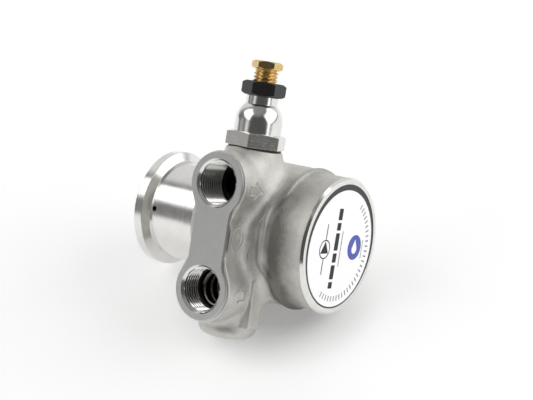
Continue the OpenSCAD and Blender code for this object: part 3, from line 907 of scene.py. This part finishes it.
def circle_points(x, z, radius, count=48):
    return [(x + radius * math.cos(a), z + radius * math.sin(a)) for a in turn(count)]


def rounded_bar(x, z, width, height, corner=0.35):
    """Outline of a bar with round corners."""
    out = []
    for sx, sz, start in ((1, 1, 0), (-1, 1, 90), (-1, -1, 180), (1, -1, 270)):
        for a in range(start, start + 91, 30):
            out.append((x + sx * (width / 2 - corner) + corner * math.cos(math.radians(a)),
                        z + sz * (height / 2 - corner) + corner * math.sin(math.radians(a))))
    return out


def ink_ring(x, z, radius, width, start=0.0, end=360.0, count=72):
    """A ring or an arc of ink."""
    angles = np.radians(np.linspace(start, end, count))
    outer = [(x + (radius + width / 2) * math.cos(a), z + (radius + width / 2) * math.sin(a)) for a in angles]
    inner = [(x + (radius - width / 2) * math.cos(a), z + (radius - width / 2) * math.sin(a)) for a in angles]
    pieces = []
    for i in range(count - 1):
        pieces.append(prism([outer[i], outer[i + 1], inner[i + 1], inner[i]], INK_LOW, INK_HIGH))
    return pieces


def ink(shapes):
    return [prism(shape, INK_LOW, INK_HIGH) for shape in shapes]


# A plain pump symbol, a column of blank bars, an arc of ticks and a blue disc with a drop
symbol_x, bars_x, badge_x = -11.0, -3.4, 9.8
dark = ink_ring(symbol_x, label_z, 3.3, 0.45) + ink([
    [(symbol_x - 2.6, label_z - 1.5), (symbol_x + 2.6, label_z - 1.5), (symbol_x, label_z + 3.0)],
    rounded_bar(symbol_x, label_z + 6.4, 0.5, 5.6, 0.2), rounded_bar(symbol_x, label_z - 6.4, 0.5, 5.6, 0.2),
])
bar_z = label_z - 14.6
for bar_l in (2.4, 5.2, 3.4, 6.4, 2.8, 4.2):
    dark += ink([rounded_bar(bars_x, bar_z + bar_l / 2, 2.6, bar_l)])
    bar_z += bar_l + 1.0
grey = ink([
    rounded_bar(bars_x + 3.4, label_z, 0.5, 13, 0.2),
    rounded_bar(badge_x + 5.6, label_z - 0.4, 0.4, 7, 0.15),
])
sign_pairs = ((-1, -1), (1, -1), (1, 1), (-1, 1))
for degrees in range(-118, 62, 6):
    a = math.radians(degrees)
    out, across = np.array((math.cos(a), math.sin(a))), np.array((-math.sin(a), math.cos(a)))
    centre = np.array((0, label_z)) + out * 18.6
    long, wide = (1.0, 0.28) if degrees % 12 else (0.7, 0.5)
    grey += ink([[centre + out * long * i + across * wide * j for i, j in sign_pairs]])
piece(mesh_object("label_print_dark", *joined(dark), 30), LABEL_INK, "pump_body", "label")
piece(mesh_object("label_print_grey", *joined(grey), 30), LABEL_GREY, "pump_body", "label")

badge_z = label_z + 0.3
piece(mesh_object("label_badge", *joined(ink([circle_points(badge_x, badge_z, 4.7, 72)])), 30),
      LABEL_BLUE, "pump_body", "label")
drop_arc = np.radians(range(150, 391, 15))
drop = [(badge_x + 1.7 * math.cos(a), badge_z - 0.7 + 1.7 * math.sin(a)) for a in drop_arc]
drop.append((badge_x, badge_z + 3.0))
piece(mesh_object("label_badge_drop", *prism(drop, INK_HIGH - 0.01, INK_HIGH + 0.01), 30),
      LABEL_WHITE_GLOW, "pump_body", "label")


# ---- Bypass valve ----

hex_low, hex_high = gasket_high.z, 36.0
neck_top = valve_high.z
piece(hexagon("valve_hexagon", VALVE, 19.6, VALVE_HEX_CORNER, hex_low, hex_high, 8.0, (0.0, 16.0)),
      HEX_STEEL, "pump_body", "turned_steel")
dome = [(4.7, valve_low.z), (6.9, valve_low.z), (6.9, hex_low + 1), (BALL_R, hex_low + 2)]
dome += [(BALL_R * math.cos(a), BALL_Z + BALL_R * math.sin(a)) for a in np.radians(np.linspace(0, 47.5, 18))]
dome += [(NECK_R, neck_top), (4.53, neck_top), (4.53, 43.5), (4.7, 43.5)]
valve_dome = lathe("valve_dome", VALVE, rounded(dome, 0.12), 160)
piece(valve_dome, DOME_STEEL, "pump_body", "turned_steel", "valve_body")

piece(lathe("gasket", VALVE, [
    (7.0, gasket_low.z), (9.7, gasket_low.z), (9.7, gasket_high.z), (7.0, gasket_high.z),
], 120, 0.2), RUBBER, "pump_body", "rubber", "valve_gasket")

piece(hexagon("lock_nut_black", VALVE, 14.0, NUT_CORNER, nut_low.z, nut_high.z, 4.56, (30.0, 30.0), 0.16),
      BLACK_OXIDE, "lock_nut", "blackened_steel", "locknut")


def screw_shank():
    """The adjusting screw's threaded shank."""
    angles = turn(120)
    major_r, minor_r = 4.49, 3.78
    low, high = screw_low.z, screw_high.z - 2.9
    rings = [VALVE.ring(1.5, low, angles), VALVE.ring(minor_r - 0.3, low, angles)]
    for z in np.arange(low + 0.4, high, SCREW_PITCH / 12):
        phase = (z / SCREW_PITCH - angles / (2 * math.pi)) % 1
        tooth = np.clip(1.3 - 2.9 * np.abs(phase - 0.5), 0, 1)
        fade = np.clip((high - 0.2 - z) / 0.7, 0, 1)
        rings.append(VALVE.ring(minor_r + (major_r - minor_r) * tooth * fade, z, angles))
    rings += [VALVE.ring(minor_r, high, angles), VALVE.ring(minor_r, high + 1.0, angles)]
    rings.append(VALVE.ring(1.5, high + 1.0, angles))
    return mesh_object("screw_shank", *skin(rings), 40)


piece(screw_shank(), BRASS, "valve_screw", "brass", "adjusting_screw")
screw_head = hexagon(
    "screw_head", VALVE, 9.9, SCREW_CORNER, screw_high.z - 3.0, screw_high.z, 0.02, (30.0, 30.0), 0.1)
piece(screw_head, BRASS, "valve_screw", "brass")


# ---- Check valve spring in the lower port ----

check_valve_spring = mesh_object("check_valve_spring", *coil(
    OUTLET, 6.3, 0.5, check_low.x - PORT_X, check_high.x - PORT_X, 4.6), 60)
piece(check_valve_spring, WIRE_STEEL, "pump_body", "spring_steel", "check_spring")
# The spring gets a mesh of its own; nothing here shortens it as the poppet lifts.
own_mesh(check_valve_spring)


# ---- Camera, in the place solved from the port, flange and front rim circles ----

AZIMUTH, ELEVATION, ROLL = (math.radians(a) for a in (-56.23, 5.25, 8.96))
FOCAL_PER_WIDTH = 1229.9 / 533.0
ALONG, RIGHT_OFF, UP_OFF = 491.1, -38.03, -2.59

back = Vector((
    math.sin(AZIMUTH) * math.cos(ELEVATION),
    -math.cos(AZIMUTH) * math.cos(ELEVATION),
    math.sin(ELEVATION),
))
level_right = Vector((math.cos(AZIMUTH), math.sin(AZIMUTH), 0))
level_up = level_right.cross(-back)
camera_right = math.cos(ROLL) * level_right + math.sin(ROLL) * level_up
camera_up = -math.sin(ROLL) * level_right + math.cos(ROLL) * level_up
camera = bpy.data.objects.new("camera", bpy.data.cameras.new("camera"))
bpy.context.scene.collection.objects.link(camera)
camera.data.sensor_width = 36
camera.data.lens = 36 * FOCAL_PER_WIDTH
camera.data.clip_start, camera.data.clip_end = 0.01, 20
camera.rotation_mode = "QUATERNION"
camera.rotation_quaternion = Matrix((camera_right, camera_up, back)).transposed().to_quaternion()
camera.location = (ALONG * back - RIGHT_OFF * camera_right - UP_OFF * camera_up) * MM
bpy.context.scene.camera = camera


# ---- Table and studio light ----

# The pump lies on its flange, its foot and the drum's rear edge, so the table is tilted in the row frame.
table_up = Vector((-0.515, -0.118, 1.0))
table_up.z = math.sqrt(1 - table_up.x**2 - table_up.y**2)
casting_points = np.array([v.co for v in casting.data.vertices])
flange_points = np.array([v.co for v in flange.data.vertices])
table_height = min((points @ np.array(table_up)).min() for points in (casting_points, flange_points))

toward_camera = (back - table_up * back.dot(table_up)).normalized()
table_right = toward_camera.cross(table_up) * -1
half = 3.0
corners = [table_up * table_height + toward_camera * i * half + table_right * j * half
           for i, j in ((-1, -1), (1, -1), (1, 1), (-1, 1))]
table_mesh = bpy.data.meshes.new("table")
table_mesh.from_pydata([tuple(c) for c in corners], [], [(0, 1, 2, 3)])
if table_mesh.polygons[0].normal.dot(table_up) < 0:
    table_mesh.flip_normals()
table = bpy.data.objects.new("table", table_mesh)
bpy.context.scene.collection.objects.link(table)


# Painted contact shadow: the paper's own glow fades out below the pump, which darkens the table there.
UNDER_DRUM = Vector((-6, -54, 0))
SHADE_CENTRE = UNDER_DRUM - table_up * (UNDER_DRUM.dot(table_up) - table_height / MM)


def table_finish():
    """Matt white paper, seen only from above so that it doesn't hide the pump's other side."""
    m = Finish("table_paper", Roughness=0.7, Specular_IOR_Level=0.1, Emission_Color=(1, 1, 1, 1))
    m.colour(m.noise(0.02, 2.0), (0.78, 0.78, 0.778), (0.80, 0.80, 0.798))
    away = m.nodes.new("ShaderNodeVectorMath")
    away.operation = "DISTANCE"
    away.inputs[1].default_value = SHADE_CENTRE
    m.links.new(m.place, away.inputs[0])
    # Painted shadow: the paper's glow is weaker near the pump.
    m.links.new(m.spread(away.outputs["Value"], 0.18, 0.44, 15, 42), m.shader.inputs["Emission Strength"])
    under = m.nodes.new("ShaderNodeNewGeometry").outputs["Backfacing"]
    clear = m.nodes.new("ShaderNodeBsdfTransparent")
    mix = m.nodes.new("ShaderNodeMixShader")
    m.links.new(under, mix.inputs["Fac"])
    m.links.new(m.shader.outputs[0], mix.inputs[1])
    m.links.new(clear.outputs[0], mix.inputs[2])
    m.links.new(mix.outputs[0], m.nodes["Material Output"].inputs["Surface"])
    return m.material


table_mesh.materials.append(table_finish())


BOX_LIGHT = 1.8


def studio_world():
    """A studio: softboxes left and right, a white backdrop, and a dark room behind the camera."""
    world = bpy.data.worlds.new("studio")
    bpy.context.scene.world = world
    world.use_nodes = True
    nodes, links = world.node_tree.nodes, world.node_tree.links
    direction = nodes.new("ShaderNodeTexCoord").outputs["Generated"]

    def wire(node, values):
        for socket, value in zip(node.inputs, values):
            if isinstance(value, (int, float)):
                socket.default_value = value
            elif isinstance(value, Vector):
                socket.default_value = tuple(value)
            else:
                links.new(value, socket)
        return node

    def calc(operation, *values):
        node = nodes.new("ShaderNodeMath")
        node.operation = operation
        return wire(node, values).outputs[0]

    def dot(axis):
        node = nodes.new("ShaderNodeVectorMath")
        node.operation = "DOT_PRODUCT"
        return wire(node, (direction, axis)).outputs["Value"]

    def step(value, edge, soft):
        node = nodes.new("ShaderNodeMapRange")
        node.interpolation_type = "SMOOTHSTEP"
        return wire(node, (value, edge - soft, edge + soft, 0.0, 1.0)).outputs["Result"]

    height = calc("MULTIPLY", calc("ARCSINE", dot(table_up)), 180 / math.pi)
    turned = calc("MULTIPLY", calc("ARCTAN2", dot(table_right), dot(toward_camera)), 180 / math.pi)

    def window(value, low, high, soft):
        return calc("MULTIPLY", step(value, low, soft), calc("SUBTRACT", 1.0, step(value, high, soft)))

    # Each light is its degrees round the pump from the camera, its degrees above the table and its strength.
    lights = [
        (window(turned, -121, -56, 4), window(height, 30, 67, 3), BOX_LIGHT),
        (window(turned, -102, -84, 4), window(height, 2, 16, 4), 0.25),
        (window(turned, -102, -66, 4), window(height, -9, 4, 2), 0.55),
        (window(turned, -71, -54, 5), window(height, -10, 26, 4), 0.8),
        (window(turned, 45, 118, 4), window(height, 5, 52, 5), BOX_LIGHT),
        (window(turned, -132, -50, 8), calc("SUBTRACT", 1.0, step(height, 40, 8)), 0.10),
        (calc("SUBTRACT", 1.0, step(turned, -134, 12)), calc("SUBTRACT", 1.0, step(height, 54, 14)), 0.72),
        (step(turned, 118, 6), calc("SUBTRACT", 1.0, step(height, 54, 14)), 0.72),
    ]
    total = calc("ADD", 0.09, calc("MULTIPLY", step(height, 58, 12), 0.19))
    for across, upward, strength in lights:
        total = calc("ADD", total, calc("MULTIPLY", calc("MULTIPLY", across, upward), strength))
    background = nodes["Background"]
    links.new(total, background.inputs["Strength"])
    background.inputs["Color"].default_value = (1.0, 1.0, 1.0, 1.0)


studio_world()
bpy.context.scene.view_settings.view_transform = "Standard"
